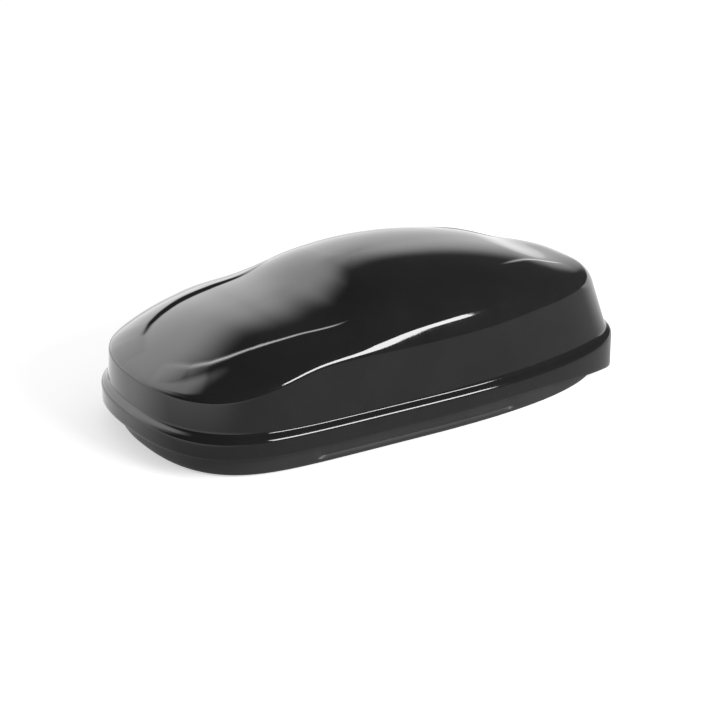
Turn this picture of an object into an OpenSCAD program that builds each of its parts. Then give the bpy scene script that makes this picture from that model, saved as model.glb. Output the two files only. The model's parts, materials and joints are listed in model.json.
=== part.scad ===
// Roof cargo box: a hinged gloss lid over a textured base tray, with hinges, stays, lock and clamps.
// Units are millimetres. +X is the nose, +Y is the hinge side, Z is up, and z = 0 is the tray's underside.

/* [Envelope] */
// overall length of the box
length = 1400; // [900:1:2300]
// overall width of the box
width = 720; // [500:1:950]
// height of the lid's step above the ground face
band_z = 112; // [80:1:160]
// how far the widest section sits ahead of the middle
nose_shift = 42; // [0:1:120]
// plan squareness of the front half along X
front_nx = 6.4; // [2:0.1:8]
// plan squareness of the front half along Y
front_my = 2.36; // [2:0.01:5]
// plan squareness of the rear half along X
rear_nx = 2.35; // [2:0.01:8]
// plan squareness of the rear half along Y
rear_my = 2.89; // [2:0.01:5]

/* [Lid] */
// lid wall thickness
lid_t = 3.2; // [2:0.1:5]
// width of the step round the foot of the lid wall
step_w = 16; // [8:0.5:30]
// rise of the step from its outer edge to the wall
step_rise = 10; // [4:0.5:20]
// wall draft at the nose, as a slope
draft_nose = 0.056; // [0:0.001:0.3]
// wall draft at the tail, as a slope
draft_tail = 0.32; // [0:0.01:0.6]
// how quickly the crown rounds over
crown_power = 0.64; // [0.4:0.01:1]
// section positions along X, tail first
section_x = [-700, -540, -360, -120, 100, 240, 350, 450, 560, 700];
// wall height above the step at each section
shoulder_h = [150, 172, 171, 155, 152.5, 154, 145, 118, 93.5, 81];
// crown height above the shoulder at each section
crown_h = [71, 45, 101, 139, 124.5, 62, 53, 67, 62, 30.5];
// skirt positions along X, tail first
skirt_x = [-700, -640, -560, -450, -350, -200, 0, 700];
// skirt depth below the step at each position
skirt_h = [104, 94, 74, 57, 46, 42, 44, 45];

/* [Tray] */
// tray wall thickness
tray_t = 3.2; // [2:0.1:5]
// gap between the lid's outer face and the tray rim
rim_inset = 26; // [18:1:40]
// how far the rim lip reaches in from the lid's outer face
lip_inset = 15; // [10:1:25]
// height of the tray rim
rim_z = 104; // [80:1:140]

/* [Hinges] */
// hinge positions along X
hinge_x = [330, -110];
// hinge pivot distance from the centre plane
hinge_y = 318; // [200:1:400]
// hinge pivot height
hinge_z = 68; // [30:1:120]
// radius of the goose neck arm
arm_r = 49; // [30:1:80]
// width of the lid's hinge knuckle
knuckle_w = 24; // [12:1:40]

/* [Stays] */
// stay positions along X
stay_x = [440, -425];
// lower pivot of the stays, as [y, z]
stay_foot = [185, 24];
// upper pivot of the stays, as [y, z]
stay_head = [235, 195];
// stay tube length from its pivot
stay_tube = 138; // [80:1:200]
// stay rod length from its upper pivot
stay_rod = 150; // [80:1:200]

/* [Lock] */
// lock barrel position along X
lock_x = 100; // [-300:1:300]
// lock barrel height
lock_z = 150; // [120:1:200]
// distance of the lock rod from the centre plane
rod_y = 287; // [200:1:330]
// catch positions along X
catch_x = [440, 20, -240];
// lock rod travel
rod_travel = 18; // [8:1:30]

/* [Clamps] */
// clamp positions along X, to suit the roof bars
clamp_x = [300, -300];
// clamp distance from the centre plane
clamp_y = 200; // [120:1:260]
// distance between the legs of a clamp
leg_gap = 80; // [50:1:110]
// clamp rod radius
leg_r = 3; // [2:0.1:5]
// length of each floor slot, end to end
slot_len = 70; // [20:1:76]
// half the width of each floor slot
slot_r = 4; // [3:0.1:6]
// spare slot positions either side of the middle, along X
spare_x = 120; // [60:1:170]
// width of the raised floor channel
channel_w = 60; // [40:1:90]
// height of the raised floor channel
channel_h = 30; // [20:1:45]
// channel ends along X
channel_ends = [-385, 385];

/* [Hidden] */
half_l = length / 2;
half_w = width / 2;
pinion_r = rod_travel / (PI / 2);
clear = 0.3;
$fn = 48;

// ---- curves ----
function slope(xs, ys, i) = let (n = len(xs) - 1, a = max(i - 1, 0), b = min(i + 1, n))
  (ys[b] - ys[a]) / (xs[b] - xs[a]);
function cell(xs, x, i = 0) = i >= len(xs) - 2 || x < xs[i + 1] ? i : cell(xs, x, i + 1);
function spline(x0, xs, ys) =
  let (x = min(max(x0, xs[0]), xs[len(xs) - 1]), i = cell(xs, x), h = xs[i + 1] - xs[i], t = (x - xs[i]) / h)
  (2 * pow(t, 3) - 3 * pow(t, 2) + 1) * ys[i]
  + (pow(t, 3) - 2 * pow(t, 2) + t) * h * slope(xs, ys, i)
  + (3 * pow(t, 2) - 2 * pow(t, 3)) * ys[i + 1]
  + (pow(t, 3) - pow(t, 2)) * h * slope(xs, ys, i + 1);

// one quarter of the plan outline, from its side round to its tip, on a unit square
function quarter(n, m, xc, k1, k2) = let (yc = pow(1 - pow(xc, n), 1 / m)) concat(
  [for (i = [0:k1]) let (x = xc * i / k1) [x, pow(1 - pow(x, n), 1 / m)]],
  [for (j = [1:k2]) let (y = yc * (1 - j / k2)) [pow(1 - pow(y, m), 1 / n), y]]);
qf = quarter(front_nx, front_my, 0.88, 9, 9);
qr = quarter(rear_nx, rear_my, 0.8, 9, 9);
side = concat(
  [for (i = [len(qf) - 1:-1:0]) qf[i]],
  [for (i = [1:len(qr) - 1]) [-qr[i][0], qr[i][1]]]);
ring = concat(side, [for (i = [len(side) - 2:-1:1]) [side[i][0], -side[i][1]]]);
function reach(u) = u[0] >= 0 ? half_l - nose_shift : half_l + nose_shift;
function plan(u, inset) = [nose_shift + (reach(u) - inset) * u[0], (half_w - inset) * u[1]];
// half width of the plan outline, brought in by an inset, at a given x
function side_y(x, i = 0) =
  let (f = x >= nose_shift, a = (f ? half_l - nose_shift : half_l + nose_shift) - i,
       q = abs(x - nose_shift) / a)
  (half_w - i) * pow(1 - pow(q, f ? front_nx : rear_nx), 1 / (f ? front_my : rear_my));
// height of the lid's outer surface over a point of the plan
function roof_z(x, y) =
  let (hs = spline(x, section_x, shoulder_h), f = x >= nose_shift, ins = wall_inset(x, hs),
       a = (f ? half_l - nose_shift : half_l + nose_shift) - ins,
       rho = pow(abs(x - nose_shift) / a, f ? front_nx : rear_nx)
         + pow(abs(y) / (half_w - ins), f ? front_my : rear_my))
  band_z + hs + spline(x, section_x, crown_h) * pow(max(1 - rho, 0), crown_power);
function draft(x) = draft_nose + (draft_tail - draft_nose) * pow((half_l - x) / length, 2);
function wall_inset(x, h) = step_w + draft(x) * (h - step_rise);

// ---- lid surface ----
function roof_pt(u, f, t) =
  let (b = plan(u, step_w), hs = spline(b[0], section_x, shoulder_h), ins = wall_inset(b[0], hs) + t,
       x = nose_shift + (reach(u) - ins) * u[0] * f, y = (half_w - ins) * u[1] * f,
       n = u[0] >= 0 ? front_nx : rear_nx, s = min(max((u[0] + 0.6) / 1.2, 0), 1),
       m = rear_my + (front_my - rear_my) * s * s * (3 - 2 * s),
       tip = pow(abs(u[0]), n), rho = tip * pow(f, n) + (1 - tip) * pow(f, m))
  [x, y, band_z - t + spline(x, section_x, shoulder_h)
    + spline(x, section_x, crown_h) * pow(max(1 - rho, 0), crown_power)];
function flat_ring(inset, z) = [for (u = ring) let (p = plan(u, inset)) [p[0], p[1], z]];
function skirt_ring(inset) = [for (u = ring) let (p = plan(u, inset))
  [p[0], p[1], band_z - spline(p[0], skirt_x, skirt_h)]];
function roof_ring(f, t) = [for (u = ring) roof_pt(u, f, t)];
roof_steps = [0.1, 0.24, 0.4, 0.56, 0.7, 0.82, 0.91, 0.97, 1];
n_roof = len(roof_steps);

// a closed skin from one end point through a stack of rings to the other end point
function flat1(v) = [for (a = v) for (b = a) b];
module skin(first, rings, last) {
  n = len(ring);
  m = len(rings);
  polyhedron(
    points = concat([first], flat1(rings), [last]),
    faces = concat(
      [for (j = [0:n - 1]) [0, 1 + (j + 1) % n, 1 + j]],
      [for (i = [0:m - 2]) for (j = [0:n - 1])
        let (a = 1 + i * n + j, b = 1 + i * n + (j + 1) % n) [a, b, b + n]],
      [for (i = [0:m - 2]) for (j = [0:n - 1])
        let (a = 1 + i * n + j, b = 1 + i * n + (j + 1) % n) [a, b + n, a + n]],
      [for (j = [0:n - 1]) [1 + (m - 1) * n + j, 1 + (m - 1) * n + (j + 1) % n, 1 + m * n]]),
    convexity = 8);
}

module lid() {
  step_out = [[16, 10], [12, 6], [4, 1.5], [0, -3]];
  step_in = [[3.2, -5], [8, -1], [14, 3], [19.2, 7]];
  color([0.03, 0.03, 0.032])
  difference() {
    skin(roof_pt(ring[0], 0, 0),
      concat(
        [for (i = [0:n_roof - 1]) roof_ring(roof_steps[i], 0)],
        [for (s = step_out) flat_ring(s[0] * step_w / 16, band_z + s[1] * step_rise / 10)],
        [skirt_ring(0), skirt_ring(lid_t)],
        [for (s = step_in) flat_ring(s[0] * step_w / 16, band_z + s[1] * step_rise / 10)],
        [for (i = [n_roof - 1:-1:0]) roof_ring(roof_steps[i], lid_t)]),
      roof_pt(ring[0], 0, lid_t));
    translate([lock_x, -half_w, lock_z])
    rotate([-90, 0, 0])
    cylinder(r = 9, h = 60);
  }
}

module base_tray() {
  inner = [[64, 3.2], [52, 6.4], [47, 13], [43, 28], [40, 47], [35, 60], [29.2, 65], [29.2, rim_z], [15, rim_z]];
  outer = [[15, rim_z - 3], [26, rim_z - 5], [26, 64], [32, 58], [36.5, 46], [39.5, 26], [43, 11], [49, 3], [62, 0]];
  color([0.045, 0.045, 0.047])
  difference() {
    skin([nose_shift, 0, tray_t],
      [for (s = concat(inner, outer)) flat_ring(s[0], s[1])],
      [nose_shift, 0, 0]);
    for (s = [-1, 1])
      translate([channel_ends[0] - 0.5, s * clamp_y - channel_w / 2 - 0.5, -1])
      cube([channel_ends[1] - channel_ends[0] + 1, channel_w + 1, 8]);
    for (x = [560, -520])
      translate([x, 0, -1])
      cylinder(r = 6, h = 8);
  }
}

// ---- tray fittings ----
module mount_channels() {
  l = channel_ends[1] - channel_ends[0];
  color([0.06, 0.06, 0.065])
  for (s = [-1, 1])
    translate([channel_ends[0], s * clamp_y, 0])
    difference() {
      union() {
        translate([0, -channel_w / 2, 0])
        cube([l, channel_w, channel_h]);
        translate([-12, -channel_w / 2 - 12, tray_t + 0.2])
        cube([l + 24, channel_w + 24, 3]);
      }
      translate([3, -channel_w / 2 + 3, -1])
      cube([l - 6, channel_w - 6, channel_h - 2]);
      for (x = clamp_x)
        for (d = [-1, 1])
          translate([x - channel_ends[0] + d * leg_gap / 2, 0, channel_h - 5])
          slot_cut();
      for (d = [-1, 1])
        translate([d * spare_x - channel_ends[0], 0, channel_h - 5])
        slot_cut();
    }
}
module slot_cut() {
  e = slot_len / 2 - slot_r;
  translate([-e, -slot_r, 0])
  cube([2 * e, 2 * slot_r, 10]);
  for (d = [-1, 1])
    translate([d * e, 0, 0])
    cylinder(r = slot_r, h = 10);
}
module floor_rails() {
  color([0.55, 0.56, 0.58])
  for (s = [-1, 1])
    translate([-420, s * 145 - 6, tray_t + 0.2])
    difference() {
      cube([850, 12, 5]);
      for (x = [20, 425, 830])
        translate([x, 6, -1])
        cylinder(r = 2.6, h = 7);
    }
}
module floor_mat() {
  color([0.12, 0.12, 0.13])
  translate([-430, -136, tray_t + 0.2])
  cube([880, 272, 3]);
}
module rim_seal() {
  n = len(ring);
  prof = [[16, 0.2], [22, 0.2], [22, 5], [19, 7], [16, 5]];
  m = len(prof);
  pts = [for (u = ring) for (q = prof) let (p = plan(u, q[0])) [p[0], p[1], rim_z + q[1]]];
  color([0.02, 0.02, 0.02])
  difference() {
    polyhedron(points = pts,
      faces = concat(
        [for (j = [0:n - 1]) for (k = [0:m - 1]) [j * m + k, j * m + (k + 1) % m, ((j + 1) % n) * m + (k + 1) % m]],
        [for (j = [0:n - 1]) for (k = [0:m - 1])
          [j * m + k, ((j + 1) % n) * m + (k + 1) % m, ((j + 1) % n) * m + k]]),
      convexity = 6);
    for (x = hinge_x)
      translate([x - 20, half_w - 60, rim_z - 5])
      cube([40, 60, 20]);
  }
}
module drain_plugs() {
  color([0.02, 0.02, 0.02])
  for (x = [560, -520]) {
    translate([x, 0, 0.3])
    cylinder(r = 5.7, h = 4);
    translate([x, 0, tray_t + 0.3])
    cylinder(r = 9, h = 2.5);
  }
}

// where a plate sits against the tray's inner wall between two positions along X
function wall_y(a, b) = min(side_y(a, 29.2), side_y(b, 29.2)) - 1.2;

// ---- hinges ----
module hinge_brackets() {
  color([0.6, 0.61, 0.63])
  for (x = hinge_x) {
    ry = wall_y(x - 26, x + 26);
    difference() {
      union() {
        translate([x - 26, ry - 3, hinge_z + 9])
        cube([52, 3, 23]);
        for (d = [-1, 1])
          translate([x + d * 19.5 - 6, 0, 0]) {
            translate([0, hinge_y, hinge_z])
            rotate([0, 90, 0])
            cylinder(r = 6, h = 12);
            translate([0, hinge_y, hinge_z + 1])
            cube([12, ry - hinge_y, 12]);
          }
      }
      translate([x - 40, hinge_y, hinge_z])
      rotate([0, 90, 0])
      cylinder(r = 3.3, h = 80);
    }
  }
}
module hinge_bracket_rivets() {
  color([0.7, 0.7, 0.72])
  for (x = hinge_x) {
    ry = wall_y(x - 26, x + 26);
    for (d = [-1, 1])
      translate([x + d * 19, ry - 3.1, hinge_z + 24])
      rotate([90, 0, 0])
      cylinder(r1 = 4.5, r2 = 3, h = 2);
  }
}
module hinge_pins() {
  color([0.75, 0.75, 0.77])
  for (x = hinge_x)
    translate([x - 27, hinge_y, hinge_z])
    rotate([0, 90, 0]) {
      cylinder(r = 3, h = 54);
      translate([0, 0, -1.7])
      cylinder(r = 5, h = 2.5);
      translate([0, 0, 53])
      cylinder(r = 5, h = 2.5);
    }
}
// the lid plate stands off the wall's inner face at the plate's top corner
function plate_y(x) = min(side_y(x - 20), side_y(x + 20)) - wall_inset(x - 20, 40) - lid_t - 1.6;
function polar(r, a) = [r * cos(a), r * sin(a)];
// side view of the goose neck: an outer arc, down the spoke to the knuckle, and back along the inner arc
function arm_profile(a0) =
  let (ro = arm_r + 2, ri = arm_r - 2, spoke = 155, ao = asin(2 / ro), ai = asin(2 / ri))
  concat(
    [for (i = [0:9]) polar(ro, a0 + (spoke + ao - a0) * i / 9)],
    [polar(norm([4.5, 2]), spoke + atan2(2, 4.5)), polar(norm([4.5, 2]), spoke - atan2(2, 4.5))],
    [for (i = [9:-1:0]) polar(ri, a0 + (spoke - ai - a0) * i / 9)]);
module hinge_arms() {
  color([0.6, 0.61, 0.63])
  for (x = hinge_x) {
    py = plate_y(x) - hinge_y;
    a0 = acos((py - 1.5) / arm_r);
    translate([x - knuckle_w / 2, hinge_y, hinge_z])
    difference() {
      union() {
        rotate([90, 0, 90])
        cylinder(r = 6, h = knuckle_w);
        rotate([90, 0, 90])
        translate([0, 0, 0.5])
        linear_extrude(knuckle_w - 1)
        polygon(arm_profile(a0));
        translate([-6, py - 3.3, arm_r * sin(a0) - 0.3])
        cube([knuckle_w + 12, 3.3, 42]);
      }
      translate([-1, 0, 0])
      rotate([0, 90, 0])
      cylinder(r = 3.3, h = knuckle_w + 2);
    }
  }
}
module hinge_arm_rivets() {
  color([0.7, 0.7, 0.72])
  for (x = hinge_x)
    for (d = [-1, 1])
      translate([x + d * 11, plate_y(x) - 3.4, band_z + 28])
      rotate([90, 0, 0])
      cylinder(r1 = 4.5, r2 = 3, h = 2);
}

// ---- stays ----
stay_d = stay_head - stay_foot;
stay_a = atan2(stay_d[1], stay_d[0]);
stay_l = norm(stay_d);
// stands the local +X axis along the stay at its lower pivot
module at_stay(x) {
  translate([x, stay_foot[0], stay_foot[1]])
  rotate([90, 0, 90])
  rotate([0, 0, stay_a])
  children();
}
module stay_tube_one(x) {
  color([0.02, 0.02, 0.022])
  at_stay(x)
  difference() {
    union() {
      rotate([0, 90, 0])
      translate([0, 0, 10])
      cylinder(r = 10, h = stay_tube - 10);
      translate([0, 0, -4])
      cylinder(r = 8, h = 8);
      translate([0, -5, -4])
      cube([16, 10, 8]);
    }
    rotate([0, 90, 0])
    translate([0, 0, 20])
    cylinder(r = 5, h = stay_tube);
    translate([0, 0, -6])
    cylinder(r = 4.3, h = 12);
  }
}
module stay_rod_one(x) {
  color([0.75, 0.75, 0.77])
  at_stay(x)
  difference() {
    union() {
      rotate([0, 90, 0])
      translate([0, 0, stay_l - stay_rod])
      cylinder(r = 4, h = stay_rod - 10);
      translate([stay_l, 0, -3])
      cylinder(r = 13, h = 6);
    }
    translate([stay_l, 0, -5])
    cylinder(r = 9.5, h = 10);
  }
}
module stay_tube_front() {
  stay_tube_one(stay_x[0]);
}
module stay_tube_rear() {
  stay_tube_one(stay_x[1]);
}
module stay_rod_front() {
  stay_rod_one(stay_x[0]);
}
module stay_rod_rear() {
  stay_rod_one(stay_x[1]);
}
module stay_feet() {
  color([0.6, 0.61, 0.63])
  for (x = stay_x)
    translate([x, stay_foot[0], 0])
    difference() {
      union() {
        translate([-18, -20, tray_t + 0.2])
        cube([36, 32, 3]);
        for (d = [-1, 1])
          translate([d * 8 - 1.5, 0, 0]) {
            translate([0, -9, tray_t + 0.2])
            cube([3, 18, stay_foot[1] - tray_t]);
            translate([0, 0, stay_foot[1]])
            rotate([0, 90, 0])
            cylinder(r = 9, h = 3);
          }
      }
      translate([-20, 0, stay_foot[1]])
      rotate([0, 90, 0])
      cylinder(r = 4.2, h = 40);
    }
}
module stay_foot_pins() {
  color([0.75, 0.75, 0.77])
  for (x = stay_x)
    translate([x - 13, stay_foot[0], stay_foot[1]])
    rotate([0, 90, 0]) {
      cylinder(r = 4, h = 26);
      translate([0, 0, -2])
      cylinder(r = 6, h = 2.5);
      translate([0, 0, 25.5])
      cylinder(r = 6, h = 2.5);
    }
}
// a hanging plate on each side of the stay head, with the head pin across
module lid_strut_brackets() {
  color([0.6, 0.61, 0.63])
  for (x = stay_x) {
    top = min(roof_z(x - 16, stay_head[0] + 14), roof_z(x + 16, stay_head[0] + 14)) - lid_t - 16;
    translate([x, stay_head[0], 0]) {
      for (d = [-1, 1])
        translate([d * 9 - 1.5, 0, 0]) {
          translate([0, -9, stay_head[1]])
          cube([3, 18, top - stay_head[1]]);
          translate([0, 0, stay_head[1]])
          rotate([0, 90, 0])
          cylinder(r = 9, h = 3);
        }
      translate([-16, -14, top - 3])
      cube([32, 28, 3]);
      translate([-13, 0, stay_head[1]])
      rotate([0, 90, 0])
      cylinder(r = 4, h = 26);
    }
  }
}

// ---- lock ----
module lock_housing() {
  wy = side_y(lock_x) - wall_inset(lock_x - 30, 62) - lid_t - clear;
  color([0.03, 0.03, 0.03])
  translate([lock_x - 28, -wy, lock_z - 20])
  difference() {
    cube([56, wy - rod_y - 6, 40]);
    translate([28, -1, 20])
    rotate([-90, 0, 0])
    cylinder(r = 8.2, h = 80);
  }
}
module lock_trim() {
  wy = side_y(lock_x) - wall_inset(lock_x, lock_z - band_z - 14) + clear;
  color([0.7, 0.7, 0.72])
  translate([lock_x, -wy - 3, lock_z])
  rotate([-90, 0, 0])
  difference() {
    cylinder(r = 14, h = 3);
    translate([0, 0, -1])
    cylinder(r = 8.2, h = 8);
  }
}
module lock_barrel() {
  color([0.75, 0.75, 0.77])
  translate([lock_x, -347, lock_z])
  rotate([-90, 0, 0])
  difference() {
    cylinder(r = 7.8, h = 343 - rod_y);
    translate([-1.2, -4.5, -1])
    cube([2.4, 9, 14]);
  }
}
module lock_pinion() {
  color([0.65, 0.6, 0.4])
  translate([lock_x, -rod_y - 4, lock_z])
  rotate([-90, 0, 0])
  difference() {
    cylinder(r = pinion_r, h = 8);
    for (i = [0:15])
      rotate([0, 0, i * 22.5])
      translate([pinion_r - 1, -0.8, -1])
      cube([3, 1.6, 10]);
  }
}
module lock_rod() {
  x0 = catch_x[2] - 12;
  color([0.6, 0.61, 0.63])
  translate([x0, -rod_y - 4, lock_z + pinion_r + 0.6])
  difference() {
    cube([catch_x[0] - x0 + 12, 8, 8]);
    for (i = [-5:5])
      translate([lock_x - x0 + i * 4.4, -1, -1])
      cube([1.6, 10, 2]);
  }
}
module catch_hooks() {
  z1 = lock_z + pinion_r + 0.6;
  color([0.6, 0.61, 0.63])
  for (x = catch_x)
    translate([x, -rod_y - 8.3, 0]) {
      translate([-8, 0, 78])
      cube([16, 4, z1 + 8 - 78]);
      translate([-8, 0, 78])
      cube([28, 4, 7]);
    }
}
module rod_guides() {
  z1 = lock_z + pinion_r + 0.6;
  color([0.04, 0.04, 0.04])
  for (x = [380, 250, -60, -190]) {
    wy = side_y(x) - wall_inset(x - 10, z1 + 12 - band_z) - lid_t - clear - 1;
    translate([x - 9, -wy, z1 - 4])
    difference() {
      cube([18, wy - rod_y + 8, 16]);
      translate([-1, wy - rod_y - 4.4, 3.6])
      cube([20, 8.8, 8.8]);
    }
  }
}
module catch_keepers() {
  color([0.6, 0.61, 0.63])
  for (x = catch_x) {
    ry = wall_y(x + 10, x + 44);
    translate([x, -ry, 0]) {
      translate([11, 0, 70])
      cube([30, 3, 28]);
      translate([28, 0, 88])
      cube([12, ry - rod_y + 6, 4]);
    }
  }
}
module keeper_rivets() {
  color([0.7, 0.7, 0.72])
  for (x = catch_x) {
    ry = wall_y(x + 10, x + 44);
    for (d = [16, 36])
      translate([x + d, -ry + 3.1, 78])
      rotate([-90, 0, 0])
      cylinder(r1 = 4, r2 = 2.6, h = 2);
  }
}

// ---- lid fittings ----
module lid_stiffener() {
  color([0.6, 0.61, 0.63])
  difference() {
    translate([-200, -18, band_z + 269])
    cube([160, 36, 9]);
    translate([-194, -12, band_z + 268])
    cube([148, 24, 7]);
  }
}
module pull_strap() {
  color([0.1, 0.1, 0.11])
  translate([200, -rod_y + 8, 118])
  cube([25, 1.6, 60]);
}

// ---- clamps ----
module u_bolt(x, y) {
  r = 12;
  h = leg_gap / 2;
  color([0.7, 0.71, 0.73])
  translate([x, y, 1]) {
    for (d = [-1, 1]) {
      translate([d * h, 0, r + leg_r])
      cylinder(r = leg_r, h = 70);
      translate([d * (h - r), 0, r + leg_r])
      rotate([90, 0, 0])
      rotate([0, 0, d > 0 ? -90 : 180])
      rotate_extrude(angle = 90)
      translate([r, 0])
      circle(r = leg_r);
    }
    translate([-h + r, 0, leg_r])
    rotate([0, 90, 0])
    cylinder(r = leg_r, h = leg_gap - 2 * r);
  }
}
module clamp_plates() {
  color([0.6, 0.61, 0.63])
  for (x = clamp_x)
    for (s = [-1, 1])
      translate([x, s * clamp_y, channel_h + 0.2])
      difference() {
        translate([-55, -18, 0])
        cube([110, 36, 4]);
        for (d = [-1, 1])
          translate([d * leg_gap / 2, 0, -1])
          cylinder(r = leg_r + 0.5, h = 6);
      }
}
module knob(x, y) {
  color([0.03, 0.03, 0.03])
  translate([x, y, channel_h + 4.6])
  difference() {
    union() {
      cylinder(r = 9, h = 20);
      translate([0, 0, 4])
      cylinder(r = 16, h = 12);
      for (i = [0:5])
        rotate([0, 0, i * 60])
        translate([15, 0, 4])
        cylinder(r = 4.5, h = 12);
    }
    translate([0, 0, -1])
    cylinder(r = leg_r + 0.4, h = 22);
  }
}
module u_bolt_fl() {
  u_bolt(clamp_x[0], clamp_y);
}
module u_bolt_fr() {
  u_bolt(clamp_x[0], -clamp_y);
}
module u_bolt_rl() {
  u_bolt(clamp_x[1], clamp_y);
}
module u_bolt_rr() {
  u_bolt(clamp_x[1], -clamp_y);
}
module knob_fl_1() {
  knob(clamp_x[0] + leg_gap / 2, clamp_y);
}
module knob_fl_2() {
  knob(clamp_x[0] - leg_gap / 2, clamp_y);
}
module knob_fr_1() {
  knob(clamp_x[0] + leg_gap / 2, -clamp_y);
}
module knob_fr_2() {
  knob(clamp_x[0] - leg_gap / 2, -clamp_y);
}
module knob_rl_1() {
  knob(clamp_x[1] + leg_gap / 2, clamp_y);
}
module knob_rl_2() {
  knob(clamp_x[1] - leg_gap / 2, clamp_y);
}
module knob_rr_1() {
  knob(clamp_x[1] + leg_gap / 2, -clamp_y);
}
module knob_rr_2() {
  knob(clamp_x[1] - leg_gap / 2, -clamp_y);
}

// ---- luggage straps ----
module strap_anchors() {
  color([0.03, 0.03, 0.03])
  for (x = [150, -150])
    for (s = [-1, 1])
      translate([x - 19, s * 145 - 5, tray_t + 5.4])
      difference() {
        cube([38, 10, 7]);
        translate([5, -1, 1.5])
        cube([28, 12, 3.4]);
      }
}
module load_straps() {
  color([0.1, 0.1, 0.11])
  for (x = [150, -150])
    translate([x - 12.5, -156, tray_t + 7.2])
    cube([25, 312, 1.6]);
}
module strap_buckles() {
  color([0.03, 0.03, 0.03])
  for (x = [150, -150])
    translate([x - 19, 30, tray_t + 3.6])
    difference() {
      cube([38, 44, 10]);
      translate([5, -1, 3])
      cube([28, 46, 3]);
    }
}

lid();
lid_strut_brackets();
hinge_arms();
hinge_arm_rivets();
lock_housing();
lock_trim();
rod_guides();
lid_stiffener();
pull_strap();
base_tray();
mount_channels();
floor_rails();
floor_mat();
rim_seal();
hinge_brackets();
hinge_pins();
hinge_bracket_rivets();
stay_feet();
stay_foot_pins();
catch_keepers();
keeper_rivets();
clamp_plates();
strap_anchors();
load_straps();
strap_buckles();
drain_plugs();
stay_tube_front();
stay_tube_rear();
stay_rod_front();
stay_rod_rear();
lock_barrel();
lock_pinion();
lock_rod();
catch_hooks();
u_bolt_fl();
u_bolt_fr();
u_bolt_rl();
u_bolt_rr();
knob_fl_1();
knob_fl_2();
knob_fr_1();
knob_fr_2();
knob_rl_1();
knob_rl_2();
knob_rr_1();
knob_rr_2();
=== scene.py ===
# %% [markdown]
# # A roof cargo box
# The object is the long black box that sits on a car's roof bars. A gloss lid is vacuum formed in one
# sheet and hinges along one side of a textured tray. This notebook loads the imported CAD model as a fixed
# frame, then builds the smooth visible shells, the small hardware and the finishes on top of it.

# %% Load the frame
import json
import math
import bmesh
import bpy
import numpy as np
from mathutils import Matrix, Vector


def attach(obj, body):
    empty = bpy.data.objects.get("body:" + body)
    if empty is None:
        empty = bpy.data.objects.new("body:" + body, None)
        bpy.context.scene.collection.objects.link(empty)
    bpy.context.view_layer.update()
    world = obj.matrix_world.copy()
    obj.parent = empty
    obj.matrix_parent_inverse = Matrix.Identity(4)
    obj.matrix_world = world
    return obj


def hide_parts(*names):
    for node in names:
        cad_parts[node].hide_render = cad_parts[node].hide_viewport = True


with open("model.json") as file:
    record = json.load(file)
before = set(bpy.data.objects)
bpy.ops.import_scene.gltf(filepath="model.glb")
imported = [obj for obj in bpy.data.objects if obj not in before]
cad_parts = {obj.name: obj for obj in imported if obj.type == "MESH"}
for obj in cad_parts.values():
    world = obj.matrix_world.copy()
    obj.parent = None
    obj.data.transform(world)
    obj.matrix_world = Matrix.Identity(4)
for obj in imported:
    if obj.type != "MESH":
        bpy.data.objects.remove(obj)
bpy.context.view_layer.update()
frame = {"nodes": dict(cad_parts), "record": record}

# %% [markdown]
# ## Shader maths as Python
# Node trees are easier to read as sums. `Sock` wraps one socket and gives it arithmetic, so that
# `1 - mask * 0.5` makes the Math nodes. Every other node comes from one method, `Mat.node`, which sets
# the node's own settings first and its sockets afterwards.

# %% Shader helper
class Sock:
    def __init__(self, mat, socket):
        self.mat, self.socket = mat, socket

    def op(self, kind, other=None, flip=False):
        args = [self] if other is None else ([other, self] if flip else [self, other])
        return self.mat.node("ShaderNodeMath", {"operation": kind}, dict(enumerate(args)))

    def __add__(self, o): return self.op("ADD", o)
    def __radd__(self, o): return self.op("ADD", o, True)
    def __sub__(self, o): return self.op("SUBTRACT", o)
    def __rsub__(self, o): return self.op("SUBTRACT", o, True)
    def __mul__(self, o): return self.op("MULTIPLY", o)
    def __rmul__(self, o): return self.op("MULTIPLY", o, True)
    def __truediv__(self, o): return self.op("DIVIDE", o)
    def __rtruediv__(self, o): return self.op("DIVIDE", o, True)
    def __pow__(self, o): return self.op("POWER", o)
    def __rpow__(self, o): return self.op("POWER", o, True)

    def step(self, low, high):
        """0 below low, 1 above high, and a smooth curve between."""
        return self.mat.node("ShaderNodeMapRange", {"interpolation_type": "SMOOTHSTEP"},
                             {"Value": self, "From Min": low, "From Max": high})


class Graph:
    """A node tree with one method that adds any node."""

    def __init__(self, tree):
        self.tree = tree
        tree.nodes.clear()

    def node(self, kind, settings=None, values=None, output=0):
        n = self.tree.nodes.new(kind)
        for key, value in (settings or {}).items():
            if key == "stops":
                ramp = n.color_ramp
                while len(ramp.elements) < len(value):
                    ramp.elements.new(0.5)
                for e, (pos, level) in zip(ramp.elements, value):
                    e.position = pos
                    e.color = (level, level, level, 1) if isinstance(level, (int, float)) else (*level, 1)
            else:
                setattr(n, key, value)
        for key, value in (values or {}).items():
            for one in value if isinstance(value, list) else [value]:
                if isinstance(one, Sock):
                    self.tree.links.new(one.socket, n.inputs[key])
                else:
                    n.inputs[key].default_value = one
        return Sock(self, n.outputs[output])


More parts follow.
